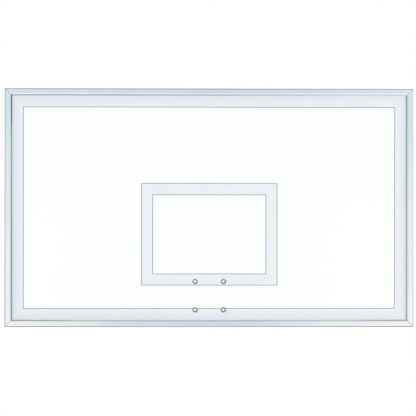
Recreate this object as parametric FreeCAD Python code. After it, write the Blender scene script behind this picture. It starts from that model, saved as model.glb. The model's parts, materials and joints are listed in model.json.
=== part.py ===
import FreeCAD
import Part
import math
import os

# Framed glass basketball backboard, in millimetres.
# X runs along the board's width, -Y towards the players, +Z up.
# The origin is the centre of the four mounting slots, on the rear face of the mounting plates.

# Frame: four mitred extrusions, each a hollow box with two lips that hold the glass
board_width = 1828.8
board_height = 1066.8
frame_depth = 38.1
face_width = 28.0
box_width = 16.0
rail_wall = 2.5
chamber_front_wall = 4.0
front_lip = 4.5
lip_slope_width = 5.0
lip_slope_depth = 2.0
lip_slope_round = 8.0
lip_edge_round = 0.8
rear_lip = 2.5
outer_edge_round = 6.0
rear_edge_round = 1.0
mitre_gap = 0.4

# Glass and the gasket channel that it stands in
glass_thickness = 12.7
glass_arris = 0.8
gasket_leg = 2.0
gasket_web = 2.0
gasket_front_reveal = 3.2
gasket_rear_reveal = 2.0
gasket_bead_rise = 1.4
gasket_bead_edge = 0.8
gasket_crest_round = 0.5
gasket_lip_gap = 0.2

# Packing blocks between the gasket and the rails
block_thickness = 3.0
block_length = 100.0
block_side_gap = 0.2
block_place_share = 0.25

# Fired-on markings on the playing face
marking_thickness = 0.3
marking_lift = 0.1
marking_gasket_gap = 0.4
keyline_width = 2.4
target_width = 609.6
target_height = 457.2
target_stripe_width = 52.8

# Rim holes: the upper pair in the target's bottom stripe, the lower pair on the border's inner edge
rim_spacing_x = 127.0
rim_spacing_z = 127.0
rim_low_height = 76.2
target_hole_rise = 17.5
border_edge_rise = 8.2

# Two-piece flanged bushings in the rim holes
rim_hole_diameter = 18.0
bushing_bore = 12.0
bushing_hole_gap = 0.3
bushing_seat_gap = 0.05
bushing_joint_gap = 0.4
bushing_flange_diameter = 22.6
bushing_flange_thickness = 2.2
bushing_flange_round = 1.0
bushing_mouth_chamfer = 0.5

# Corner keys inside the rails' boxes
key_end_margin = 14.0
key_gap = 0.2
key_tip_chamfer = 1.5

# Mounting plates on the rear corners, each with one horizontal slot
plate_thickness = 5.0
plate_edge_inset = 0.8
plate_end_margin = 22.0
plate_pad_margin = 7.2
plate_shoulder = 46.0
plate_corner_round = 4.0
slot_inset = 50.8
slot_width = 13.5
slot_length = 32.0

# Countersunk screws through plate and rail into the key
screw_diameter = 6.0
screw_length = 22.0
screw_head_diameter = 11.3
screw_head_sink = 0.2
screw_gap = 0.2
screw_thread_gap = 0.05
screw_tip_chamfer = 0.8
screw_hole_spare = 3.0
socket_across_flats = 4.0
socket_depth = 2.4
screw_first_place = 42.0
screw_pitch = 60.0

cut_overrun = 2.0

# Places across the frame, measured inwards from its outer edge
chamber_middle = box_width / 2
glass_inset = box_width + block_thickness + gasket_web
gasket_reach = face_width + gasket_front_reveal
border_reach = rim_low_height + border_edge_rise
target_base_height = rim_low_height + rim_spacing_z - target_hole_rise

last_screw_place = screw_first_place + screw_pitch
key_leg_length = last_screw_place + key_end_margin
plate_leg_length = last_screw_place + plate_end_margin
plate_pad_reach = slot_inset + slot_length / 2 + plate_pad_margin

# Places through the depth, measured back from the frame's front face
glass_front = front_lip + gasket_leg
glass_back = glass_front + glass_thickness
channel_back = glass_back + gasket_leg

# The same places in the part's own Y
rail_back_y = -plate_thickness
face_y = rail_back_y - frame_depth
glass_front_y = face_y + glass_front
glass_back_y = face_y + glass_back
marking_back_y = glass_front_y - marking_lift
marking_front_y = marking_back_y - marking_thickness

half_width = board_width / 2
half_height = board_height / 2
y_axis = FreeCAD.Vector(0, 1, 0)
centre = FreeCAD.Vector(0, 0, 0)

# Each side: turn about Y from the bottom rail's place, way out from the centre, rail length
sides = {
    "bottom": (0, FreeCAD.Vector(0, 0, -half_height), board_width),
    "top": (180, FreeCAD.Vector(0, 0, half_height), board_width),
    "left": (90, FreeCAD.Vector(-half_width, 0, 0), board_height),
    "right": (-90, FreeCAD.Vector(half_width, 0, 0), board_height),
}

# Each corner or hole of a square: its signs along X and Z, as seen from the front
quarters = {
    "top_left": (-1, 1),
    "top_right": (1, 1),
    "bottom_left": (-1, -1),
    "bottom_right": (1, -1),
}


def across_point(inward, back):
    # A rail's cross-section, standing across its length
    return FreeCAD.Vector(0, back, inward)


def upright_point(x, z):
    # An outline in the board's plane
    return FreeCAD.Vector(x, 0, z)


def turned_point(radius, y):
    # Half of a turned piece's cross-section
    return FreeCAD.Vector(radius, y, 0)


def outline(corners, to_point):
    # Closed outline through (a, b, radius) corners, rounded by tangent arcs
    places = [FreeCAD.Vector(a, b, 0) for a, b, radius in corners]
    rounds = []
    for index, (a, b, radius) in enumerate(corners):
        place = places[index]
        back = (places[index - 1] - place).normalize()
        ahead = (places[(index + 1) % len(places)] - place).normalize()
        half_turn = back.getAngle(ahead) / 2
        reach = radius / math.tan(half_turn)
        to_arc = (back + ahead) * (radius / math.sin(half_turn) - radius) / (2 * math.cos(half_turn))
        rounds.append([place + back * reach, place + to_arc, place + ahead * reach])
    edges = []
    for index, (start, middle, end) in enumerate(rounds):
        if corners[index][2]:
            arc = [to_point(p.x, p.y) for p in (start, middle, end)]
            edges.append(Part.Arc(*arc).toShape())
        following = rounds[(index + 1) % len(rounds)][0]
        edges.append(Part.LineSegment(to_point(end.x, end.y), to_point(following.x, following.y)).toShape())
    return Part.Wire(edges)


def sharp(points):
    return [(a, b, 0) for a, b in points]


def rectangle(a_low, b_low, a_high, b_high):
    return sharp([(a_low, b_low), (a_high, b_low), (a_high, b_high), (a_low, b_high)])


def slab(corners, y_low, y_high):
    # A plate in the board's plane, between two depths
    face = Part.Face(outline(corners, upright_point))
    face.translate(y_axis * y_low)
    return face.extrude(y_axis * (y_high - y_low))


def rod(diameter, x, z, y_low, y_high):
    start = FreeCAD.Vector(x, y_low, z)
    return Part.makeCylinder(diameter / 2, y_high - y_low, start, y_axis)


def turned(corners, x, z):
    ring = Part.Face(outline(corners, turned_point)).revolve(centre, y_axis, 360)
    ring.translate(FreeCAD.Vector(x, 0, z))
    return ring


def on_side(shape, side):
    turn, way_out, length = sides[side]
    placed = shape.copy()
    placed.rotate(centre, y_axis, turn)
    placed.translate(way_out + y_axis * face_y)
    return placed


def straight_bar(section, length):
    bar = Part.Face(outline(section, across_point)).extrude(FreeCAD.Vector(length, 0, 0))
    return bar.translated(FreeCAD.Vector(-length / 2, 0, 0))


def mitred(bar, length, reach):
    # The bar with its ends cut at 45 degrees
    half = length / 2 - mitre_gap / math.sqrt(2)
    low = -cut_overrun
    high = reach + cut_overrun
    wedge = sharp([(low - half, low), (half - low, low), (half - high, high), (high - half, high)])
    return bar.common(slab(wedge, -cut_overrun, frame_depth + cut_overrun))


def corner_place(quarter, from_side, from_end):
    # A point measured inwards from the board's nearest upright and level edges
    sign_x, sign_z = quarters[quarter]
    return sign_x * (half_width - from_side), sign_z * (half_height - from_end)


def screw_places(quarter):
    places = []
    for along in (screw_first_place, last_screw_place):
        places.append(corner_place(quarter, along, chamber_middle))
        places.append(corner_place(quarter, chamber_middle, along))
    return places


def rim_places():
    middle_z = rim_low_height + rim_spacing_z / 2 - half_height
    places = {}
    for name, (sign_x, sign_z) in quarters.items():
        places[name] = (sign_x * rim_spacing_x / 2, middle_z + sign_z * rim_spacing_z / 2)
    return places


def rail(side):
    length = sides[side][2]
    section = [
        (0, 0, outer_edge_round),
        (face_width - lip_slope_width, 0, lip_slope_round),
        (face_width, lip_slope_depth, lip_edge_round),
        (face_width, front_lip, 0),
        (box_width, front_lip, 0),
        (box_width, channel_back, 0),
        (face_width, channel_back, 0),
        (face_width, channel_back + rear_lip, rear_edge_round),
        (box_width, channel_back + rear_lip, 0),
        (box_width, frame_depth, rear_edge_round),
        (0, frame_depth, rear_edge_round),
    ]
    chamber = rectangle(rail_wall, chamber_front_wall, box_width - rail_wall, frame_depth - rail_wall)
    hollow = straight_bar(section, length).cut(straight_bar(chamber, length))
    bar = on_side(mitred(hollow, length, face_width), side)
    for quarter in quarters:
        for x, z in screw_places(quarter):
            hole = rod(screw_diameter + 2 * screw_gap, x, z, rail_back_y - rail_wall - cut_overrun, 0)
            bar = bar.cut(hole)
    return bar


def gasket(side):
    # U-section that wraps the glass edge, with a sloped bead in front of the lip's edge
    length = sides[side][2]
    web_start = box_width + block_thickness
    bead_start = face_width + gasket_lip_gap
    section = [
        (web_start, channel_back, 0),
        (web_start, front_lip, 0),
        (bead_start, front_lip, 0),
        (bead_start, front_lip - gasket_bead_rise, gasket_crest_round),
        (gasket_reach, glass_front - gasket_bead_edge, 0),
        (gasket_reach, glass_front, 0),
        (glass_inset, glass_front, 0),
        (glass_inset, glass_back, 0),
        (face_width + gasket_rear_reveal, glass_back, 0),
        (face_width + gasket_rear_reveal, channel_back, 0),
    ]
    return on_side(mitred(straight_bar(section, length), length, gasket_reach), side)


def packing_blocks(side):
    # Two rubber blocks on a rail's web, at the quarter points of its length
    length = sides[side][2]
    pad = slab(
        rectangle(-block_length / 2, box_width, block_length / 2, box_width + block_thickness),
        front_lip + block_side_gap, channel_back - block_side_gap)
    blocks = []
    for way in (-1, 1):
        block = pad.translated(FreeCAD.Vector(way * length * block_place_share, 0, 0))
        blocks.append(on_side(block, side))
    return blocks


def glass_panel():
    reach_x = half_width - glass_inset
    reach_z = half_height - glass_inset
    panel = slab(rectangle(-reach_x, -reach_z, reach_x, reach_z), glass_front_y, glass_back_y)
    for x, z in rim_places().values():
        hole = rod(rim_hole_diameter, x, z, glass_front_y - cut_overrun, glass_back_y + cut_overrun)
        panel = panel.cut(hole)
    flat_edges = [edge for edge in panel.Edges if edge.BoundBox.YLength < glass_arris]
    return panel.makeChamfer(glass_arris, flat_edges)


def marking(outer, inner):
    # A flat fired-on ring between two outlines, clear of the rim holes
    ring = slab(outer, marking_front_y, marking_back_y)
    ring = ring.cut(slab(inner, marking_front_y - cut_overrun, marking_back_y + cut_overrun))
    for x, z in rim_places().values():
        hole = rod(rim_hole_diameter, x, z, marking_front_y - cut_overrun, marking_back_y + cut_overrun)
        ring = ring.cut(hole)
    return ring


def board_inset(inset):
    return rectangle(inset - half_width, inset - half_height, half_width - inset, half_height - inset)


def target_inset(inset):
    base = target_base_height - half_height
    reach = target_width / 2 - inset
    return rectangle(-reach, base + inset, reach, base + target_height - inset)


def rim_bushing(x, z, end_y, seat_y, inner_end_y):
    # Flange outside the glass from end_y to seat_y, sleeve inside the hole to inner_end_y
    way = math.copysign(1, inner_end_y - end_y)
    bore = bushing_bore / 2
    sleeve = rim_hole_diameter / 2 - bushing_hole_gap
    flange = bushing_flange_diameter / 2
    return turned([
        (bore, end_y + way * bushing_mouth_chamfer, 0),
        (bore + bushing_mouth_chamfer, end_y, 0),
        (flange, end_y, bushing_flange_round),
        (flange, seat_y, 0),
        (sleeve, seat_y, 0),
        (sleeve, inner_end_y, 0),
        (bore, inner_end_y, 0),
    ], x, z)


def corner_key(quarter):
    near = rail_wall + key_gap
    far = box_width - rail_wall - key_gap
    tip = key_leg_length
    ell = [
        (near, near), (tip - key_tip_chamfer, near), (tip, near + key_tip_chamfer),
        (tip, far - key_tip_chamfer), (tip - key_tip_chamfer, far), (far, far),
        (far, tip - key_tip_chamfer), (far - key_tip_chamfer, tip),
        (near + key_tip_chamfer, tip), (near, tip - key_tip_chamfer),
    ]
    corners = sharp([corner_place(quarter, a, b) for a, b in ell])
    key_back_y = rail_back_y - rail_wall - key_gap
    key = slab(corners, face_y + chamber_front_wall + key_gap, key_back_y)
    hole_end_y = -screw_length - screw_hole_spare
    tapped_diameter = screw_diameter + 2 * screw_thread_gap
    for x, z in screw_places(quarter):
        key = key.cut(rod(tapped_diameter, x, z, hole_end_y, key_back_y + cut_overrun))
    return key


def mounting_plate(quarter):
    edge = plate_edge_inset
    gusset = [
        (edge, edge), (plate_leg_length, edge), (plate_leg_length, box_width),
        (plate_pad_reach, plate_shoulder), (plate_pad_reach, plate_pad_reach),
        (plate_shoulder, plate_pad_reach), (box_width, plate_leg_length), (edge, plate_leg_length),
    ]
    corners = [corner_place(quarter, a, b) + (plate_corner_round,) for a, b in gusset]
    plate = slab(corners, rail_back_y, 0)
    slot_x, slot_z = corner_place(quarter, slot_inset, slot_inset)
    reach = slot_length / 2
    rise = slot_width / 2
    slot = slab(
        rectangle(slot_x - reach + rise, slot_z - rise, slot_x + reach - rise, slot_z + rise),
        rail_back_y - cut_overrun, cut_overrun)
    for way in (-1, 1):
        end_x = slot_x + way * (reach - rise)
        slot = slot.fuse(rod(slot_width, end_x, slot_z, rail_back_y - cut_overrun, cut_overrun))
    plate = plate.cut(slot.removeSplitter())
    for x, z in screw_places(quarter):
        plate = plate.cut(countersink(x, z))
    return plate


def countersink(x, z):
    # Clearance hole with a 90 degree cone that follows the screw's head
    mouth = screw_head_diameter / 2 + screw_head_sink + screw_gap
    throat = screw_diameter / 2 + screw_gap
    return turned(sharp([
        (0, cut_overrun), (mouth + cut_overrun, cut_overrun), (throat, throat - mouth),
        (throat, rail_back_y - cut_overrun), (0, rail_back_y - cut_overrun),
    ]), x, z)


def plate_screw(x, z):
    head = screw_head_diameter / 2
    shank = screw_diameter / 2
    top_y = -screw_head_sink
    tip_y = -screw_length
    body = turned(sharp([
        (0, top_y), (head, top_y), (shank, top_y + shank - head),
        (shank, tip_y + screw_tip_chamfer), (shank - screw_tip_chamfer, tip_y), (0, tip_y),
    ]), x, z)
    across_corners = socket_across_flats / math.sqrt(3)
    hexagon = []
    for step in range(6):
        turn = math.radians(60 * step)
        hexagon.append((x + across_corners * math.cos(turn), z + across_corners * math.sin(turn)))
    return body.cut(slab(sharp(hexagon), top_y - socket_depth, cut_overrun))


def all_nodes():
    nodes = {"glass_panel": glass_panel()}
    border_edge = border_reach - keyline_width
    target_edge = target_stripe_width - keyline_width
    nodes["border_stripe"] = marking(
        board_inset(gasket_reach + marking_gasket_gap), board_inset(border_edge))
    nodes["border_keyline"] = marking(board_inset(border_edge), board_inset(border_reach))
    nodes["target_stripe"] = marking(target_inset(keyline_width), target_inset(target_edge))
    nodes["target_keylines"] = Part.makeCompound([
        marking(target_inset(0), target_inset(keyline_width)),
        marking(target_inset(target_edge), target_inset(target_stripe_width)),
    ])
    for side in sides:
        nodes[side + "_rail"] = rail(side)
        nodes[side + "_gasket"] = gasket(side)
    nodes["setting_blocks"] = Part.makeCompound(packing_blocks("bottom"))
    nodes["top_blocks"] = Part.makeCompound(packing_blocks("top"))
    nodes["side_blocks"] = Part.makeCompound(packing_blocks("left") + packing_blocks("right"))
    screws = []
    for quarter in quarters:
        nodes["corner_key_" + quarter] = corner_key(quarter)
        nodes["mounting_plate_" + quarter] = mounting_plate(quarter)
        screws += [plate_screw(x, z) for x, z in screw_places(quarter)]
    nodes["plate_screws"] = Part.makeCompound(screws)
    meeting_y = (glass_front_y + glass_back_y) / 2
    front_seat_y = marking_front_y - bushing_seat_gap
    back_seat_y = glass_back_y + bushing_seat_gap
    for quarter, (x, z) in rim_places().items():
        nodes["front_bushing_" + quarter] = rim_bushing(
            x, z, front_seat_y - bushing_flange_thickness, front_seat_y, meeting_y - bushing_joint_gap / 2)
        nodes["rear_bushing_" + quarter] = rim_bushing(
            x, z, back_seat_y + bushing_flange_thickness, back_seat_y, meeting_y + bushing_joint_gap / 2)
    return nodes


os.makedirs("parts", exist_ok=True)
for name, shape in all_nodes().items():
    shape.exportStep("parts/" + name + ".step")
    print(name, len(shape.Solids), round(shape.Volume))
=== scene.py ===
import bmesh
import bpy
import json
import math
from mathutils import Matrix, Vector


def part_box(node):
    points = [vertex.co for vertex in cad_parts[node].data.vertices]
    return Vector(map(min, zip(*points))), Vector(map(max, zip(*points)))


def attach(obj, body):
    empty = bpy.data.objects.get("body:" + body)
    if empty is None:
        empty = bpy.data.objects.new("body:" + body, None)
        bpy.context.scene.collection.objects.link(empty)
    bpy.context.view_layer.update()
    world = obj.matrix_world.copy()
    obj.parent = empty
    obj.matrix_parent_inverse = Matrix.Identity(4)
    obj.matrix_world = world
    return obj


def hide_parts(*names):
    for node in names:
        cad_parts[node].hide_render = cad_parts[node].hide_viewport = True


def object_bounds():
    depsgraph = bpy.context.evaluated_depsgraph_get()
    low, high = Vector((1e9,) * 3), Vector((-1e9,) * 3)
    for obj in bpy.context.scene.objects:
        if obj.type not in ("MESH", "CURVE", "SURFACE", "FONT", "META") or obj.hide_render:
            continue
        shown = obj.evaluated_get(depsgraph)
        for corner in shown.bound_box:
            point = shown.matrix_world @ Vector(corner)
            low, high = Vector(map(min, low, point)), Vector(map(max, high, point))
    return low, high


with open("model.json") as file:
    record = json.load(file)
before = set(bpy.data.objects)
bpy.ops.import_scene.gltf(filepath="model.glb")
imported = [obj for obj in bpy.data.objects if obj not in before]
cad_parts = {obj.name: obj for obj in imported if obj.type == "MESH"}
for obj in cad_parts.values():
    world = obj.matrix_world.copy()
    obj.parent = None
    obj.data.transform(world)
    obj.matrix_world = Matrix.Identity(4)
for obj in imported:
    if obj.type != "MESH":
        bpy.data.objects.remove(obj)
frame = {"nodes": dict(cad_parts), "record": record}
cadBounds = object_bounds()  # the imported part's own box, before anything is added
nodes = frame["nodes"]
scene = bpy.context.scene
scene.view_settings.view_transform = "Standard"
sideNames = ("top", "bottom", "left", "right")
quarterSigns = {"top_left": (-1, 1), "top_right": (1, 1), "bottom_left": (-1, -1), "bottom_right": (1, -1)}
print("frame loaded:", len(nodes), "nodes")


def metres(millimetres):
    return millimetres / 1000.0


def perMetre(millimetres):
    # texture scale whose features are that many millimetres wide
    return 1000.0 / millimetres


def linear(hexCode):
    # sRGB hex to the linear colour that a socket takes
    channels = [int(hexCode[i:i + 2], 16) / 255 for i in (1, 3, 5)]
    return [c / 12.92 if c <= 0.04045 else ((c + 0.055) / 1.055) ** 2.4 for c in channels] + [1.0]


def grey(level):
    return (level, level, level, 1.0)


def addNode(tree, kind, settings=None):
    # one node: another node or a socket among the settings is linked in, any other value is set;
    # a Mix node's colour sockets go by number, 0 for the share and 6 and 7 for the two colours
    node = tree.nodes.new(kind)
    for name, value in (settings or {}).items():
        if isinstance(value, bpy.types.Node):
            value = next(socket for socket in value.outputs if socket.enabled)
        if isinstance(value, bpy.types.NodeSocket):
            tree.links.new(value, node.inputs[name])
        elif name == "stops":
            ramp = node.color_ramp.elements
            while len(ramp) < len(value):
                ramp.new(1.0)
            for element, (place, colour) in zip(ramp, value):
                element.position = place
                element.color = colour
        elif isinstance(name, int) or name in node.inputs:
            node.inputs[name].default_value = value
        else:
            setattr(node, name, value)
    return node


def startMaterial(name):
    # an empty node tree, and the Object coordinates that its pattern is drawn on
    material = bpy.data.materials.new(name)
    material.use_nodes = True
    tree = material.node_tree
    tree.nodes.clear()
    place = addNode(tree, "ShaderNodeTexCoord").outputs["Object"]
    return material, tree, place


def finishMaterial(tree, settings):
    shader = addNode(tree, "ShaderNodeBsdfPrincipled", settings)
    addNode(tree, "ShaderNodeOutputMaterial", {"Surface": shader})


def edgeInsets(tree, place):
    # how far in from the board's side edges, and from its top and bottom edges, a point lies
    axes = addNode(tree, "ShaderNodeSeparateXYZ", {"Vector": place})
    insets = []
    for axis, reach in (("X", cadBounds[1][0]), ("Z", cadBounds[1][2])):
        away = addNode(tree, "ShaderNodeMath", {"operation": "ABSOLUTE", 0: axes.outputs[axis]})
        insets.append(addNode(tree, "ShaderNodeMath", {"operation": "SUBTRACT", 0: reach, 1: away}))
    return insets


lowNoise, highNoise = 0.3, 0.7  # nearly all of a noise pattern's values lie between these


# Satin anodised aluminium, extruded: cold pale metal with a broad soft reflection, fine die lines along it
# and a little dirt in the mitres
def anodisedRail(name, lengthAxis):
    look = {
        "paleHex": "#eff2f4", "paleFrom": 0.65, "coolHex": "#e8edf0", "coolTo": 0.35,
        "driftMm": 320.0,         # slow change of tone along the bar
        "mitreHex": "#a3a8ab", "dirtyMm": 0.6, "cleanMm": 1.2,  # away from the mitre's cut
        "lineMm": 1.6,            # die lines are finer than this; drawn coarse enough to show
        "lineLengthMm": 2400.0, "lineDetail": 3.0,
        "smoothest": 0.14, "roughest": 0.22, "bump": 0.03, "bumpMm": 0.3,
    }
    material, tree, place = startMaterial(name)
    stretch = [perMetre(look["lineMm"])] * 3
    stretch[lengthAxis] = perMetre(look["lineLengthMm"])
    along = addNode(tree, "ShaderNodeMapping", {"Vector": place, "Scale": stretch})
    lines = addNode(tree, "ShaderNodeTexNoise", {"Vector": along, "Scale": 1.0, "Detail": look["lineDetail"]})
    drift = addNode(tree, "ShaderNodeTexNoise", {"Vector": place, "Scale": perMetre(look["driftMm"])})
    tone = addNode(tree, "ShaderNodeValToRGB", {"Fac": drift, "stops": [
        (look["coolTo"], linear(look["coolHex"])), (look["paleFrom"], linear(look["paleHex"]))]})
    sideInset, levelInset = edgeInsets(tree, place)
    fromMitre = addNode(tree, "ShaderNodeMath", {"operation": "SUBTRACT", 0: sideInset, 1: levelInset})
    fromMitre = addNode(tree, "ShaderNodeMath", {"operation": "ABSOLUTE", 0: fromMitre})
    clearOfDirtAndShade = addNode(tree, "ShaderNodeMapRange", {
        "Value": fromMitre, "From Min": metres(look["dirtyMm"]), "From Max": metres(look["cleanMm"])})
    jointed = addNode(tree, "ShaderNodeMix", {
        "data_type": "RGBA", 0: clearOfDirtAndShade, 6: linear(look["mitreHex"]), 7: tone})
    polish = addNode(tree, "ShaderNodeMapRange", {
        "Value": lines, "To Min": look["smoothest"], "To Max": look["roughest"]})
    bump = addNode(tree, "ShaderNodeBump", {
        "Height": lines, "Strength": look["bump"], "Distance": metres(look["bumpMm"])})
    finishMaterial(tree, {"Base Color": jointed, "Metallic": 1.0, "Roughness": polish, "Normal": bump})
    return material


# Tempered clear glass: colourless, with the faint long waves that tempering leaves in its reflections
def temperedGlass():
    look = {"tintHex": "#feffff", "refraction": 1.5, "waveMm": 260.0, "bump": 0.05, "bumpMm": 0.5}
    material, tree, place = startMaterial("temperedGlass")
    wave = addNode(tree, "ShaderNodeTexNoise", {
        "Vector": place, "Scale": perMetre(look["waveMm"]), "Detail": 0.0})
    bump = addNode(tree, "ShaderNodeBump", {
        "Height": wave, "Strength": look["bump"], "Distance": metres(look["bumpMm"])})
    finishMaterial(tree, {
        "Base Color": linear(look["tintHex"]), "Transmission Weight": 1.0, "Roughness": 0.0,
        "IOR": look["refraction"], "Normal": bump})
    return material


# Fired ceramic ink, screen printed: an even semi-gloss coat with a faint mesh and slight cloudiness,
# with painted shade that greys it towards the board's edge and a painted shadow beside the upright gaskets,
# where the frame's lips shade it
def firedEnamel(name, bodyHex, thinHex, edgeShadeHex):
    look = {
        "cloudMm": 60.0, "cloudDetail": 4.0,
        "edgeShadeFromMm": 32.0, "edgeShadeToMm": 85.0,  # in from the board's edge, from the painted edge shade to the full tone
        "gasketShadowHex": "#c6cdd1", "gasketShadowFromMm": 30.0, "gasketShadowToMm": 42.0,  # painted shadow of the side rails' lips along the upright gaskets
        "meshMm": 0.9,                         # a screen's mesh is finer; drawn coarse enough to show
        "smoothest": 0.28, "roughest": 0.42, "refraction": 1.5, "bump": 0.05, "bumpMm": 0.1,
    }
    material, tree, place = startMaterial(name)
    cloud = addNode(tree, "ShaderNodeTexNoise", {
        "Vector": place, "Scale": perMetre(look["cloudMm"]), "Detail": look["cloudDetail"]})
    tone = addNode(tree, "ShaderNodeValToRGB", {
        "Fac": cloud, "stops": [(lowNoise, linear(thinHex)), (highNoise, linear(bodyHex))]})
    sideInset, levelInset = edgeInsets(tree, place)
    inset = addNode(tree, "ShaderNodeMath", {"operation": "MINIMUM", 0: sideInset, 1: levelInset})
    # painted shade: greyer towards the board's edge, where the frame's lip shades the ink
    full = addNode(tree, "ShaderNodeMapRange", {
        "Value": inset, "interpolation_type": "SMOOTHSTEP",
        "From Min": metres(look["edgeShadeFromMm"]), "From Max": metres(look["edgeShadeToMm"])})
    shaded = addNode(tree, "ShaderNodeMix", {"data_type": "RGBA", 0: full, 6: linear(edgeShadeHex), 7: tone})
    # painted shadow of the side rails' lips, beside the upright gaskets
    clearOfDirtAndShade = addNode(tree, "ShaderNodeMapRange", {
        "Value": sideInset, "From Min": metres(look["gasketShadowFromMm"]), "From Max": metres(look["gasketShadowToMm"])})
    gasketShadowed = addNode(tree, "ShaderNodeMix", {
        "data_type": "RGBA", 0: clearOfDirtAndShade, 6: linear(look["gasketShadowHex"]), 7: shaded})
    mesh = addNode(tree, "ShaderNodeTexNoise", {"Vector": place, "Scale": perMetre(look["meshMm"])})
    gloss = addNode(tree, "ShaderNodeMapRange", {
        "Value": mesh, "To Min": look["smoothest"], "To Max": look["roughest"]})
    bump = addNode(tree, "ShaderNodeBump", {
        "Height": mesh, "Strength": look["bump"], "Distance": metres(look["bumpMm"])})
    finishMaterial(tree, {
        "Base Color": gasketShadowed, "IOR": look["refraction"], "Roughness": gloss, "Normal": bump})
    return material


# Moulded neoprene and nylon: a matt skin with fine grain and a little change of tone
def mouldedSkin(name, bodyHex, darkHex, grainMm, roughness):
    look = {"grainDetail": 4.0, "refraction": 1.5, "bump": 0.12, "bumpMm": 0.2}
    material, tree, place = startMaterial(name)
    grain = addNode(tree, "ShaderNodeTexNoise", {
        "Vector": place, "Scale": perMetre(grainMm), "Detail": look["grainDetail"]})
    tone = addNode(tree, "ShaderNodeValToRGB", {
        "Fac": grain, "stops": [(lowNoise, linear(darkHex)), (highNoise, linear(bodyHex))]})
    bump = addNode(tree, "ShaderNodeBump", {
        "Height": grain, "Strength": look["bump"], "Distance": metres(look["bumpMm"])})
    finishMaterial(tree, {
        "Base Color": tone, "IOR": look["refraction"], "Roughness": roughness, "Normal": bump})
    return material


# Extruded glazing vinyl: a matt grey-green skin with painted light and shade along each strip,
# darker where the rails' lips shade it and paler where light falls, and painted shade near its ends
def vinylWithPaintedLight(side, paintedLight):
    look = {
        "grainMm": 1.5, "grainDetail": 4.0, "wornTone": 0.88, "cornerShadeHex": "#1f2422", "cornerShadeFade": 0.5,
        "roughness": 0.6, "refraction": 1.5, "bump": 0.12, "bumpMm": 0.2,
    }
    level = side in ("top", "bottom")
    half = cadBounds[1][0 if level else 2]
    material, tree, place = startMaterial("glazingVinyl_" + side)
    axes = addNode(tree, "ShaderNodeSeparateXYZ", {"Vector": place})
    along = axes.outputs["X" if level else "Z"]
    run = addNode(tree, "ShaderNodeMapRange", {"Value": along, "From Min": -half, "From Max": half})
    # painted light and shade along the strip, darker where the lips shade it and paler where light falls
    tone = addNode(tree, "ShaderNodeValToRGB", {
        "Fac": run, "stops": [(spot, linear(hexCode)) for spot, hexCode in paintedLight["tones"]]})
    grain = addNode(tree, "ShaderNodeTexNoise", {
        "Vector": place, "Scale": perMetre(look["grainMm"]), "Detail": look["grainDetail"]})
    worn = addNode(tree, "ShaderNodeMapRange", {
        "Value": grain, "From Min": lowNoise, "From Max": highNoise, "To Min": look["wornTone"]})
    body = addNode(tree, "ShaderNodeMix", {
        "data_type": "RGBA", "blend_type": "MULTIPLY", 0: 1.0, 6: tone, 7: worn})
    # painted shade near each end of the strip, where the rails' lips meet in the corners
    unshadedEnds = []
    for way, (amount, reachMm) in ((-1, paintedLight["startPaintedShade"]), (1, paintedLight["endPaintedShade"])):
        reach = metres(reachMm)
        unshadedEnds.append(addNode(tree, "ShaderNodeMapRange", {
            "Value": along, "interpolation_type": "SMOOTHSTEP", "To Min": 1 - amount,
            "From Min": way * (half - reach * look["cornerShadeFade"]), "From Max": way * (half - reach)}))
    clearOfDirtAndShade = addNode(tree, "ShaderNodeMath", {"operation": "MULTIPLY", 0: unshadedEnds[0], 1: unshadedEnds[1]})
    cornerShaded = addNode(tree, "ShaderNodeMix", {
        "data_type": "RGBA", 0: clearOfDirtAndShade, 6: linear(look["cornerShadeHex"]), 7: body})
    bump = addNode(tree, "ShaderNodeBump", {
        "Height": grain, "Strength": look["bump"], "Distance": metres(look["bumpMm"])})
    finishMaterial(tree, {
        "Base Color": cornerShaded, "IOR": look["refraction"], "Roughness": look["roughness"], "Normal": bump})
    return material


# Hot dip galvanised steel: dull grey zinc in flat crystals that each catch the light differently
def galvanisedSteel():
    look = {
        "brightHex": "#c9cdcf", "dullHex": "#a2a8ab", "spangleMm": 9.0,
        "smoothest": 0.34, "roughest": 0.55,
    }
    material, tree, place = startMaterial("galvanisedSteel")
    cells = addNode(tree, "ShaderNodeTexVoronoi", {"Vector": place, "Scale": perMetre(look["spangleMm"])})
    spangle = cells.outputs["Color"]
    tone = addNode(tree, "ShaderNodeValToRGB", {
        "Fac": spangle, "stops": [(0.0, linear(look["dullHex"])), (1.0, linear(look["brightHex"]))]})
    polish = addNode(tree, "ShaderNodeMapRange", {
        "Value": spangle, "To Min": look["smoothest"], "To Max": look["roughest"]})
    finishMaterial(tree, {"Base Color": tone, "Metallic": 1.0, "Roughness": polish})
    return material


# Plain metals of the fittings: zinc plate on the screws, as-cast skin on the corner keys
def fittingMetal(name, brightHex, dullHex, grainMm, roughness):
    look = {"grainDetail": 5.0, "bump": 0.15, "bumpMm": 0.2}
    material, tree, place = startMaterial(name)
    grain = addNode(tree, "ShaderNodeTexNoise", {
        "Vector": place, "Scale": perMetre(grainMm), "Detail": look["grainDetail"]})
    tone = addNode(tree, "ShaderNodeValToRGB", {
        "Fac": grain, "stops": [(lowNoise, linear(dullHex)), (highNoise, linear(brightHex))]})
    bump = addNode(tree, "ShaderNodeBump", {
        "Height": grain, "Strength": look["bump"], "Distance": metres(look["bumpMm"])})
    finishMaterial(tree, {"Base Color": tone, "Metallic": 1.0, "Roughness": roughness, "Normal": bump})
    return material


def dress(material, *names):
    for name in names:
        mesh = nodes[name].data
        mesh.materials.clear()
        mesh.materials.append(material)


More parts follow.
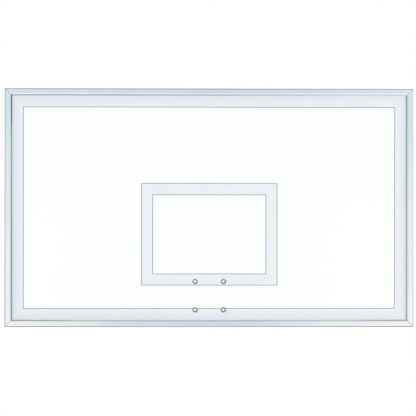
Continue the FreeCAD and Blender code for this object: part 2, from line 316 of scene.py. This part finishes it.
dress(anodisedRail("anodisedRailLevel", lengthAxis=0), "top_rail", "bottom_rail")
dress(anodisedRail("anodisedRailUpright", lengthAxis=2), "left_rail", "right_rail")
dress(temperedGlass(), "glass_panel")
whiteEnamel = firedEnamel("whiteEnamel", bodyHex="#f0f3f7", thinHex="#edf1f5", edgeShadeHex="#e2e9ed")
greyEnamel = firedEnamel("greyEnamel", bodyHex="#565b5e", thinHex="#4f5457", edgeShadeHex="#4d5255")
dress(whiteEnamel, "border_stripe", "target_stripe")
dress(greyEnamel, "border_keyline", "target_keylines")
castAluminium = fittingMetal(
    "castAluminium", brightHex="#c4c6c8", dullHex="#aaadb0", grainMm=1.5, roughness=0.55)
dress(castAluminium, *["corner_key_" + quarter for quarter in quarterSigns])
neoprene = mouldedSkin("neoprene", bodyHex="#2c2d2e", darkHex="#222324", grainMm=2.0, roughness=0.75)
dress(neoprene, "setting_blocks", "top_blocks", "side_blocks")
print("materials dressed")


modelling = {
    "sameMm": 0.01,     # places closer than this count as one
    "mergeMm": 0.001,   # corners closer than this are merged
    "seedMm": 10.0,     # a drawn outline starts as a plane of any size, merged to a point
    "ringSides": 64,
    "smoothDegrees": 32.0,
}


def onlySelect(piece):
    bpy.ops.object.select_all(action="DESELECT")
    piece.select_set(True)
    bpy.context.view_layer.objects.active = piece


def pick(kind, test):
    # in edit mode, selects just the corners, edges or faces that pass the test
    bpy.ops.mesh.select_mode(type=kind)
    bpy.ops.mesh.select_all(action="DESELECT")
    shape = bmesh.from_edit_mesh(bpy.context.object.data)
    for part in {"VERT": shape.verts, "EDGE": shape.edges, "FACE": shape.faces}[kind]:
        if test(part):
            part.select_set(True)
    shape.select_flush_mode()
    bmesh.update_edit_mesh(bpy.context.object.data)


def near(point, place):
    return (point - Vector(place)).length < metres(modelling["sameMm"])


def drawOutline(name, points):
    # one corner drawn out from point to point like a pen line, then filled; stays in edit mode
    bpy.ops.object.select_all(action="DESELECT")
    bpy.ops.mesh.primitive_plane_add(size=metres(modelling["seedMm"]))
    piece = bpy.context.object
    piece.name = name
    bpy.ops.object.mode_set(mode="EDIT")
    bpy.ops.mesh.select_mode(type="VERT")  # a lone corner can only be selected in this mode
    bpy.ops.mesh.select_all(action="SELECT")
    bpy.ops.mesh.merge(type="CENTER")
    bpy.ops.transform.translate(value=points[0])
    for start, end in zip(points, points[1:]):
        bpy.ops.mesh.extrude_region_move(TRANSFORM_OT_translate={"value": Vector(end) - Vector(start)})
    bpy.ops.mesh.select_all(action="SELECT")
    bpy.ops.mesh.edge_face_add()
    return piece


def roundCorners(places, reach, segments):
    pick("VERT", lambda corner: any(near(corner.co, place) for place in places))
    bpy.ops.mesh.bevel(offset=reach, segments=segments, affect="VERTICES")


def pullBack(depth):
    # pulls the drawn face backwards into a solid, and leaves edit mode
    bpy.ops.mesh.select_all(action="SELECT")
    bpy.ops.mesh.extrude_region_move(TRANSFORM_OT_translate={"value": (0, depth, 0)})
    bpy.ops.mesh.select_all(action="SELECT")
    bpy.ops.mesh.normals_make_consistent(inside=False)
    bpy.ops.object.mode_set(mode="OBJECT")


def turnOnAxis(name, profile, solid):
    # a ring about the Y axis, pulled along it and widened from (radius, y) point to point; stays in edit mode
    radius, y = profile[0]
    bpy.ops.object.select_all(action="DESELECT")
    bpy.ops.mesh.primitive_circle_add(
        vertices=modelling["ringSides"], radius=radius, fill_type="NGON" if solid else "NOTHING",
        location=(0, y, 0), rotation=(math.pi / 2, 0, 0))
    piece = bpy.context.object
    piece.name = name
    bpy.ops.object.transform_apply(location=True, rotation=True, scale=True)
    bpy.ops.object.mode_set(mode="EDIT")
    bpy.ops.mesh.select_mode(type="VERT")
    bpy.ops.mesh.select_all(action="SELECT")
    for nextRadius, nextY in profile[1:]:
        bpy.ops.mesh.extrude_region_move(TRANSFORM_OT_translate={"value": (0, nextY - y, 0)})
        widen = nextRadius / radius
        bpy.ops.transform.resize(value=(widen, 1, widen), center_override=(0, nextY, 0))
        radius, y = nextRadius, nextY
    bpy.ops.mesh.select_all(action="SELECT")
    bpy.ops.mesh.remove_doubles(threshold=metres(modelling["mergeMm"]))
    bpy.ops.mesh.normals_make_consistent(inside=False)
    return piece


def roundRing(radius, y, reach, segments):
    # bevels the ring of edges at that radius and depth
    same = metres(modelling["sameMm"])

    def onRing(edge):
        return all(
            abs(corner.co.y - y) < same and abs(math.hypot(corner.co.x, corner.co.z) - radius) < same
            for corner in edge.verts)

    pick("EDGE", onRing)
    bpy.ops.mesh.bevel(offset=reach, segments=segments, affect="EDGES")


def cutWith(piece, cutter):
    # takes the cutter's shape out of the piece and throws the cutter away
    onlySelect(piece)
    cut = piece.modifiers.new("cut", "BOOLEAN")
    cut.object = cutter
    cut.operation = "DIFFERENCE"
    bpy.ops.object.modifier_apply(modifier=cut.name)
    bpy.data.objects.remove(cutter)


def copyTo(piece, name, place=(0, 0, 0), turn=0.0, flip=(1, 1, 1)):
    # a copy with its own mesh, turned about Y, flipped and moved, with its place in the mesh
    onlySelect(piece)
    bpy.ops.object.duplicate(linked=False)
    copy = bpy.context.object
    copy.name = name
    copy.location = place
    copy.rotation_euler = (0, turn, 0)
    copy.scale = flip
    bpy.ops.object.transform_apply(location=True, rotation=True, scale=True)
    bpy.ops.object.mode_set(mode="EDIT")
    bpy.ops.mesh.select_all(action="SELECT")
    bpy.ops.mesh.normals_make_consistent(inside=False)
    bpy.ops.object.mode_set(mode="OBJECT")
    return copy


def joinAll(pieces):
    onlySelect(pieces[0])
    for piece in pieces[1:]:
        piece.select_set(True)
    bpy.ops.object.join()
    return pieces[0]


def finishPiece(piece, material, slotName, *replacedNodes):
    onlySelect(piece)
    bpy.ops.object.shade_smooth_by_angle(angle=math.radians(modelling["smoothDegrees"]))
    piece.data.materials.clear()
    piece.data.materials.append(material)
    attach(piece, "root")
    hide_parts(*replacedNodes)


# Painted light and shade on each gasket: tones from its left or lower end (0) to the other (1), and the
# painted shade near each end as its share and how many millimetres it reaches in from the board's edge
vinylPaintedLight = {
    "top": {
        "tones": [(0.0, "#aabba4"), (0.27, "#7a8b80"), (1.0, "#eef5f8")],
        "startPaintedShade": (0.0, 100.0), "endPaintedShade": (0.0, 100.0)},
    "bottom": {
        "tones": [(0.0, "#bfc8c5"), (1.0, "#bfc8c5")],
        "startPaintedShade": (0.55, 370.0), "endPaintedShade": (0.52, 320.0)},
    "left": {
        "tones": [(0.0, "#929d97"), (0.35, "#89948e"), (0.65, "#b0bbb9")],
        "startPaintedShade": (0.15, 70.0), "endPaintedShade": (0.94, 240.0)},
    "right": {
        "tones": [(0.0, "#b4bfbd"), (1.0, "#8c9798")],
        "startPaintedShade": (0.2, 60.0), "endPaintedShade": (0.4, 60.0)},
}


# Glazing gaskets: a vinyl channel that wraps the glass edge, with a soft bead against the rail's lip
def buildGaskets():
    sizes = {
        "lipGapMm": 0.2, "beadEdgeMm": 0.8, "rearReachMm": 2.0, "mitreGapMm": 0.4,
        "crestRoundMm": 0.55, "crestSegments": 4,
        "edgeRoundMm": 0.35, "edgeSegments": 3,
        "rearRoundMm": 0.9, "rearSegments": 4,
    }
    low, high = cadBounds
    glassLow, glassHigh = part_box("glass_panel")
    gasketLow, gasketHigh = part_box("bottom_gasket")
    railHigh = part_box("bottom_rail")[1]
    edge = low[2]  # distances run inwards from the board's lower edge
    web = gasketLow.z - edge
    glass = glassLow.z - edge
    lip = railHigh.z - edge
    reach = gasketHigh.z - edge
    rearReach = lip + metres(sizes["rearReachMm"])
    beadStart = lip + metres(sizes["lipGapMm"])
    leg = glass - web
    lipY = glassLow.y - leg
    backY = gasketHigh.y
    crest = (gasketLow.y, beadStart)
    beadEdge = (glassLow.y - metres(sizes["beadEdgeMm"]), reach)
    rearEdge = (backY, rearReach)
    section = [
        (backY, web), (lipY, web), (lipY, beadStart), crest, beadEdge, (glassLow.y, reach),
        (glassLow.y, glass), (glassHigh.y, glass), (glassHigh.y, rearReach), rearEdge,
    ]
    turns = {"bottom": 0, "left": 90, "top": 180, "right": -90}
    for side in sideNames:
        level = side in ("top", "bottom")
        half = high[0] if level else high[2]
        outward = high[2] if level else high[0]
        points = [Vector((-half, y, inward - outward)) for y, inward in section]
        strip = drawOutline("glazingGasket_" + side, points)
        for name, corner in (("crest", crest), ("edge", beadEdge), ("rear", rearEdge)):
            place = points[section.index(corner)]
            roundCorners([place], metres(sizes[name + "RoundMm"]), sizes[name + "Segments"])
        bpy.ops.mesh.select_all(action="SELECT")
        bpy.ops.mesh.extrude_region_move(TRANSFORM_OT_translate={"value": (2 * half, 0, 0)})
        cutPlace = half - metres(sizes["mitreGapMm"]) / math.sqrt(2)
        for way in (-1, 1):
            bpy.ops.mesh.select_all(action="SELECT")
            bpy.ops.mesh.bisect(
                plane_co=(way * cutPlace, 0, -outward), plane_no=(way, 0, 1), use_fill=True, clear_outer=True)
        bpy.ops.mesh.select_all(action="SELECT")
        bpy.ops.mesh.normals_make_consistent(inside=False)
        bpy.ops.object.mode_set(mode="OBJECT")
        strip.rotation_euler = (0, math.radians(turns[side]), 0)
        onlySelect(strip)
        bpy.ops.object.transform_apply(location=False, rotation=True, scale=False)
        finishPiece(strip, vinylWithPaintedLight(side, vinylPaintedLight[side]), "gasket_vinyl", side + "_gasket")


# Rim bushings: two flanged nylon halves in each hole, with a rounded flange and a chamfered bore
def buildBushings():
    sizes = {
        "boreMm": 12.0, "mouthMm": 0.5, "sleeveMm": 17.4, "sleeveTipMm": 0.5, "flangeMm": 2.2,
        "flangeRoundMm": 0.95, "flangeSegments": 5,
        "seatRoundMm": 0.25, "seatSegments": 2,
    }
    greyNylon = mouldedSkin("greyNylon", bodyHex="#7f8683", darkHex="#767d7a", grainMm=1.2, roughness=0.45)
    bore = metres(sizes["boreMm"]) / 2
    sleeve = metres(sizes["sleeveMm"]) / 2
    mouth = metres(sizes["mouthMm"])
    tip = metres(sizes["sleeveTipMm"])
    for face, way in (("front", 1), ("rear", -1)):
        low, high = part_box(face + "_bushing_top_left")
        flange = (high.x - low.x) / 2
        endY, innerY = (low.y, high.y) if way == 1 else (high.y, low.y)
        seatY = endY + way * metres(sizes["flangeMm"])
        bushing = turnOnAxis("bushingModel", [
            (bore, innerY), (sleeve - tip, innerY), (sleeve, innerY - way * tip), (sleeve, seatY),
            (flange, seatY), (flange, endY), (bore + mouth, endY), (bore, endY + way * mouth), (bore, innerY),
        ], solid=False)
        roundRing(flange, endY, metres(sizes["flangeRoundMm"]), sizes["flangeSegments"])
        roundRing(flange, seatY, metres(sizes["seatRoundMm"]), sizes["seatSegments"])
        bpy.ops.object.mode_set(mode="OBJECT")
        for quarter in quarterSigns:
            node = face + "_bushing_" + quarter
            low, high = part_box(node)
            centre = (low + high) / 2
            copy = copyTo(bushing, face + "Bushing_" + quarter, (centre.x, 0, centre.z))
            finishPiece(copy, greyNylon, "bushing_nylon", node)
        bpy.data.objects.remove(bushing)


plateScrew = {
    "headMm": 11.3, "shankMm": 6.0, "tipMm": 0.8, "rimMm": 0.15,
    "socketMm": 4.0, "socketDepthMm": 2.4, "mouthMm": 0.15,
    "pointMm": 0.5, "pointTaper": 0.2,  # the socket's drilled bottom
    "placesMm": (42.0, 102.0),          # from the board's corner along each rail
    "turnDegrees": 23.0,                # each screw stopped at another angle
    "clearanceMm": 0.2,
}


def screwPlaces(signX, signZ):
    high = cadBounds[1]
    inset = high[0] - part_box("plate_screws")[1].x + metres(plateScrew["headMm"]) / 2
    places = []
    for along in plateScrew["placesMm"]:
        for fromSide, fromEnd in ((metres(along), inset), (inset, metres(along))):
            places.append((signX * (high[0] - fromSide), 0, signZ * (high[2] - fromEnd)))
    return places


# Plate screws: zinc plated countersunk screws with a hexagon socket
def buildScrews():
    zincPlate = fittingMetal("zincPlate", brightHex="#d6d6d0", dullHex="#b9bab4", grainMm=1.0, roughness=0.3)
    low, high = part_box("plate_screws")
    topY, tipY = high.y, low.y
    head = metres(plateScrew["headMm"]) / 2
    shank = metres(plateScrew["shankMm"]) / 2
    tip = metres(plateScrew["tipMm"])
    rim = metres(plateScrew["rimMm"])
    screw = turnOnAxis("screwModel", [
        (shank - tip, tipY), (shank, tipY + tip), (shank, topY + shank - head),
        (head, topY - rim), (head - rim, topY),
    ], solid=True)
    bpy.ops.object.mode_set(mode="OBJECT")
    corner = metres(plateScrew["socketMm"]) / math.sqrt(3)
    depth = metres(plateScrew["socketDepthMm"])
    bpy.ops.object.select_all(action="DESELECT")
    bpy.ops.mesh.primitive_cylinder_add(
        vertices=6, radius=corner, depth=2 * depth, location=(0, topY, 0), rotation=(math.pi / 2, 0, 0))
    socket = bpy.context.object
    bpy.ops.object.transform_apply(location=True, rotation=True, scale=True)
    bpy.ops.object.mode_set(mode="EDIT")
    pick("FACE", lambda face: near(face.calc_center_median(), (0, topY - depth, 0)))
    bpy.ops.mesh.extrude_region_move(
        TRANSFORM_OT_translate={"value": (0, -metres(plateScrew["pointMm"]), 0)})
    bpy.ops.transform.resize(value=(plateScrew["pointTaper"], 1, plateScrew["pointTaper"]))
    bpy.ops.object.mode_set(mode="OBJECT")
    cutWith(screw, socket)
    mouth = corner + metres(plateScrew["mouthMm"])
    cone = turnOnAxis("mouthCutter", [(mouth - tip, topY - tip), (mouth + tip, topY + tip)], solid=True)
    bpy.ops.object.mode_set(mode="OBJECT")
    cutWith(screw, cone)
    copies = []
    for signs in quarterSigns.values():
        for place in screwPlaces(*signs):
            turn = math.radians(plateScrew["turnDegrees"] * len(copies))
            copies.append(copyTo(screw, "plateScrew", place, turn))
    bpy.data.objects.remove(screw)
    screws = joinAll(copies)
    screws.name = "plateScrews"
    finishPiece(screws, zincPlate, "screw_steel", "plate_screws")


# Mounting plates: galvanised gussets cut from sheet, with a bolt slot and countersunk holes, edges broken
def buildPlates():
    sizes = {
        "legWidthMm": 16.0, "padMm": 74.0, "shoulderMm": 46.0, "cornerRoundMm": 4.0, "cornerSegments": 6,
        "slotMm": 32.0, "slotWidthMm": 13.5, "slotSegments": 12,
        "slotRoundShare": 0.999,  # of half the width, so that two rounds never meet in one corner
        "edgeBreakMm": 0.45, "edgeSegments": 2, "edgeDegrees": 40.0, "overrunMm": 2.0,
    }
    plateSteel = galvanisedSteel()
    high = cadBounds[1]
    low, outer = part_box("mounting_plate_top_right")
    thickness = outer.y - low.y
    edge = high[0] - outer.x
    leg = high[0] - low.x
    width = metres(sizes["legWidthMm"])
    pad = metres(sizes["padMm"])
    shoulder = metres(sizes["shoulderMm"])
    overrun = metres(sizes["overrunMm"])
    gusset = [
        (edge, edge), (leg, edge), (leg, width), (pad, shoulder),
        (pad, pad), (shoulder, pad), (width, leg), (edge, leg),
    ]
    points = [Vector((high[0] - a, low.y, high[2] - b)) for a, b in gusset]
    plate = drawOutline("plateModel", points)
    roundCorners(points, metres(sizes["cornerRoundMm"]), sizes["cornerSegments"])
    pullBack(thickness)
    # the bolt slot, at the place the record gives
    mount = next(m for m in frame["record"]["mounts"] if m["name"] == "support_slots")
    slotX = metres(mount["dims"]["spacing_x_mm"]) / 2
    slotZ = metres(mount["dims"]["spacing_y_mm"]) / 2
    reach = metres(sizes["slotMm"]) / 2
    rise = metres(sizes["slotWidthMm"]) / 2
    corners = [Vector((slotX + a * reach, low.y - overrun, slotZ + b * rise)) for a, b in (
        (-1, -1), (1, -1), (1, 1), (-1, 1))]
    slotCutter = drawOutline("slotCutter", corners)
    roundCorners(corners, rise * sizes["slotRoundShare"], sizes["slotSegments"])
    pullBack(thickness + 2 * overrun)
    # countersunk holes that follow the screw heads
    clearance = metres(plateScrew["clearanceMm"])
    throat = metres(plateScrew["shankMm"]) / 2 + clearance
    mouth = metres(plateScrew["headMm"]) / 2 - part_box("plate_screws")[1].y + clearance
    hole = turnOnAxis("holeCutter", [
        (throat, low.y - overrun), (throat, throat - mouth), (mouth + overrun, overrun)], solid=True)
    bpy.ops.object.mode_set(mode="OBJECT")
    holes = [copyTo(hole, "holeCutter", place) for place in screwPlaces(1, 1)]
    bpy.data.objects.remove(hole)
    cutWith(plate, joinAll([slotCutter] + holes))
    edges = plate.modifiers.new("edgeBreak", "BEVEL")
    edges.width = metres(sizes["edgeBreakMm"])
    edges.segments = sizes["edgeSegments"]
    edges.limit_method = "ANGLE"
    edges.angle_limit = math.radians(sizes["edgeDegrees"])
    onlySelect(plate)
    bpy.ops.object.modifier_apply(modifier=edges.name)
    for quarter, (signX, signZ) in quarterSigns.items():
        copy = copyTo(plate, "mountingPlate_" + quarter, flip=(signX, 1, signZ))
        finishPiece(copy, plateSteel, "plate_steel", "mounting_plate_" + quarter)
    bpy.data.objects.remove(plate)


buildGaskets()
print("gaskets laid")
buildBushings()
print("bushings turned")
buildScrews()
buildPlates()
print("plates and screws fitted")


# Studio: white for the eye and for what shows through the glass, with soft even light
studio = {
    "ambientHex": "#f4f7fa", "ambientLevel": 0.485,
    "throughGlass": 1.65,   # light that goes on through the glass to the back of the ink
    "floorDrop": 2.9,       # a board hangs with its lower edge this far above the floor, in metres
    "floorSize": 28.0, "floorHex": "#e4e4e4", "floorRoughness": 0.9, "floorTopUp": 0.6,
}

# The room that metal mirrors. Heights run from straight below (0) through level (0.5) to straight above (1),
# places across from the far left (0) to the far right (1), each with its tone or, in grey, its share.
mirrorRoom = {
    "level": 1.1,
    "tones": [
        (0.0, (0.17, 0.18, 0.19, 1)), (0.1, (0.26, 0.27, 0.28, 1)), (0.17, (1.0, 1.0, 1.0, 1)),
        (0.3, (0.8, 0.82, 0.83, 1)), (0.45, (0.535, 0.595, 0.6, 1)), (0.55, (0.6, 0.74, 0.83, 1)),
        (0.7, (0.6, 0.69, 0.74, 1)), (0.8, (0.42, 0.46, 0.49, 1)), (0.88, (0.42, 0.45, 0.47, 1)),
        (0.95, (0.32, 0.34, 0.36, 1)), (1.0, (0.22, 0.24, 0.26, 1)),
    ],
    # a pale panel to each side of the camera, low and again high up, in front of the board only
    "panelColour": (1.03, 1.01, 1.02, 1),
    "panelAcross": [
        (0.21, grey(0.2)), (0.29, grey(1)), (0.43, grey(1)), (0.49, grey(0)),
        (0.51, grey(0)), (0.57, grey(1)), (0.74, grey(1)), (0.85, grey(0.2)),
    ],
    "panelHeight": [
        (0.1, grey(0)), (0.2, grey(1)), (0.49, grey(1)), (0.525, grey(0.28)), (0.58, grey(0.27)),
        (0.7, grey(0.1)), (0.77, grey(1)), (0.85, grey(1)), (0.92, grey(0)),
    ],
    # low corners and a low back stay dim, or the frame is white on white from an angle or from behind
    "cornerColour": (0.36, 0.39, 0.41, 1),
    "cornerAcross": [(0.28, grey(1)), (0.4, grey(0)), (0.6, grey(0)), (0.72, grey(1))],
    "cornerHeight": [(0.1, grey(0.8)), (0.36, grey(0.7)), (0.44, grey(0))],
    "wellBehind": 0.3,  # a direction that points this far back is fully behind the board
    # darker at the far left and right, so that the frame's rounded edges are outlined
    "sidesAcross": [(0.025, grey(0.45)), (0.15, grey(1)), (0.85, grey(1)), (0.975, grey(0.95))],
}


def buildWorld():
    world = bpy.data.worlds.new("whiteStudio")
    scene.world = world
    world.use_nodes = True
    tree = world.node_tree
    tree.nodes.clear()
    way = addNode(tree, "ShaderNodeTexCoord").outputs["Generated"]
    axes = addNode(tree, "ShaderNodeSeparateXYZ", {"Vector": way}).outputs
    height = addNode(tree, "ShaderNodeMapRange", {"Value": axes["Z"], "From Min": -1.0})
    across = addNode(tree, "ShaderNodeMapRange", {"Value": axes["X"], "From Min": -1.0})
    behind = addNode(tree, "ShaderNodeMapRange", {"Value": axes["Y"], "From Max": mirrorRoom["wellBehind"]})
    inFront = addNode(tree, "ShaderNodeMapRange", {
        "Value": axes["Y"], "From Min": mirrorRoom["wellBehind"], "From Max": 0.0})
    walls = addNode(tree, "ShaderNodeValToRGB", {"Fac": height, "stops": mirrorRoom["tones"]})
    # the panels
    span = addNode(tree, "ShaderNodeValToRGB", {"Fac": across, "stops": mirrorRoom["panelAcross"]})
    rise = addNode(tree, "ShaderNodeValToRGB", {"Fac": height, "stops": mirrorRoom["panelHeight"]})
    panel = addNode(tree, "ShaderNodeMath", {"operation": "MULTIPLY", 0: span, 1: rise})
    panel = addNode(tree, "ShaderNodeMath", {"operation": "MULTIPLY", 0: panel, 1: inFront})
    lit = addNode(tree, "ShaderNodeMix", {
        "data_type": "RGBA", 0: panel, 6: walls, 7: mirrorRoom["panelColour"]})
    # the dim corners and back
    span = addNode(tree, "ShaderNodeValToRGB", {"Fac": across, "stops": mirrorRoom["cornerAcross"]})
    rise = addNode(tree, "ShaderNodeValToRGB", {"Fac": height, "stops": mirrorRoom["cornerHeight"]})
    aside = addNode(tree, "ShaderNodeMath", {"operation": "MAXIMUM", 0: span, 1: behind})
    corner = addNode(tree, "ShaderNodeMath", {"operation": "MULTIPLY", 0: aside, 1: rise})
    dimmed = addNode(tree, "ShaderNodeMix", {
        "data_type": "RGBA", 0: corner, 6: lit, 7: mirrorRoom["cornerColour"]})
    # the far sides, and the whole room's level
    sides = addNode(tree, "ShaderNodeValToRGB", {"Fac": across, "stops": mirrorRoom["sidesAcross"]})
    outlined = addNode(tree, "ShaderNodeMix", {
        "data_type": "RGBA", "blend_type": "MULTIPLY", 0: 1.0, 6: dimmed, 7: sides})
    mirrored = addNode(tree, "ShaderNodeMix", {
        "data_type": "RGBA", "blend_type": "MULTIPLY", 0: 1.0, 6: outlined, 7: grey(mirrorRoom["level"])})
    # metal sees the room, matt surfaces the even ambient light, and the eye plain white
    rays = addNode(tree, "ShaderNodeLightPath").outputs
    ambient = [channel * studio["ambientLevel"] for channel in linear(studio["ambientHex"])]
    light = addNode(tree, "ShaderNodeMix", {
        "data_type": "RGBA", 0: rays["Is Glossy Ray"], 6: ambient, 7: mirrored})
    white = addNode(tree, "ShaderNodeMapRange", {
        "Value": rays["Diffuse Depth"], "To Min": 1.0, "To Max": studio["throughGlass"]})
    seen = addNode(tree, "ShaderNodeMath", {
        "operation": "MAXIMUM", 0: rays["Is Camera Ray"], 1: rays["Is Transmission Ray"]})
    shown = addNode(tree, "ShaderNodeMix", {"data_type": "RGBA", 0: seen, 6: light, 7: white})
    glow = addNode(tree, "ShaderNodeBackground", {"Color": shown, "Strength": 1.0})
    addNode(tree, "ShaderNodeOutputWorld", {"Surface": glow})


def buildFloor():
    floorZ = cadBounds[0][2] - studio["floorDrop"]
    bpy.ops.object.select_all(action="DESELECT")
    bpy.ops.mesh.primitive_plane_add(size=studio["floorSize"], location=(0, 0, floorZ))
    floor = bpy.context.object
    floor.name = "paleFloor"
    floor.visible_glossy = False  # metal mirrors the room above instead
    material, tree = startMaterial("paleFloorPaint")[:2]
    rays = addNode(tree, "ShaderNodeLightPath").outputs
    seen = addNode(tree, "ShaderNodeMath", {
        "operation": "MAXIMUM", 0: rays["Is Camera Ray"], 1: rays["Is Transmission Ray"]})
    lift = addNode(tree, "ShaderNodeMath", {"operation": "MULTIPLY", 0: seen, 1: studio["floorTopUp"]})
    finishMaterial(tree, {
        "Base Color": linear(studio["floorHex"]), "Roughness": studio["floorRoughness"],
        "Emission Color": grey(1), "Emission Strength": lift})
    floor.data.materials.append(material)


# Softboxes: a far key high on the left, a near fill low on the right and one behind; metres and watts
softboxes = {
    "keySoftbox": {"place": (-20.0, -16.5, 11.0), "width": 9.0, "height": 9.0, "watts": 4280},
    "fillSoftbox": {"place": (4.6, -4.6, -0.6), "width": 3.0, "height": 3.0, "watts": 92},
    "backSoftbox": {"place": (0.5, 4.2, 2.8), "width": 3.0, "height": 2.0, "watts": 120},
}


def addSoftbox(name, place, width, height, watts):
    bpy.ops.object.light_add(type="AREA", location=place)
    lamp = bpy.context.object
    lamp.name = name
    lamp.data.shape = "RECTANGLE"
    lamp.data.size = width
    lamp.data.size_y = height
    lamp.data.energy = watts
    lamp.rotation_euler = (-Vector(place)).to_track_quat("-Z", "Y").to_euler()  # aimed at the board's middle
    lamp.visible_glossy = False  # the room's pale panels are what metal mirrors
    lamp.visible_camera = False
    lamp.visible_transmission = False  # or its bright face would show through the glass


buildWorld()
buildFloor()
for name, settings in softboxes.items():
    addSoftbox(name, **settings)
print("studio lit")


# Camera: level with the board's middle, a long lens, the board's left end a touch nearer
shot = {
    "distance": 5.5,       # metres to the board's front face
    "yawDegrees": 0.7,
    "rollDegrees": 0.05,
    "boardPixels": 409.0,  # board's width in the picture
    "imagePixels": 416,
    "sensorWidth": 36.0,
    "aimX": -0.006, "aimZ": -0.0012,
}


def buildCamera():
    low, high = cadBounds
    faceY = low[1]
    turn = math.radians(shot["yawDegrees"])
    aim = Vector((shot["aimX"], faceY, shot["aimZ"]))
    away = Vector((-math.sin(turn), -math.cos(turn), 0)) * shot["distance"]
    bpy.ops.object.camera_add(location=aim + away)
    camera = bpy.context.object
    camera.name = "photoCamera"
    camera.rotation_euler = (-away).to_track_quat("-Z", "Y").to_euler()
    camera.rotation_euler.rotate_axis("Z", math.radians(shot["rollDegrees"]))
    boardWidth = high[0] - low[0]
    camera.data.sensor_width = shot["sensorWidth"]
    camera.data.lens = (
        shot["sensorWidth"] * shot["boardPixels"] / shot["imagePixels"] * shot["distance"] / boardWidth)
    camera.data.dof.use_dof = False
    scene.camera = camera


buildCamera()
print("camera placed")
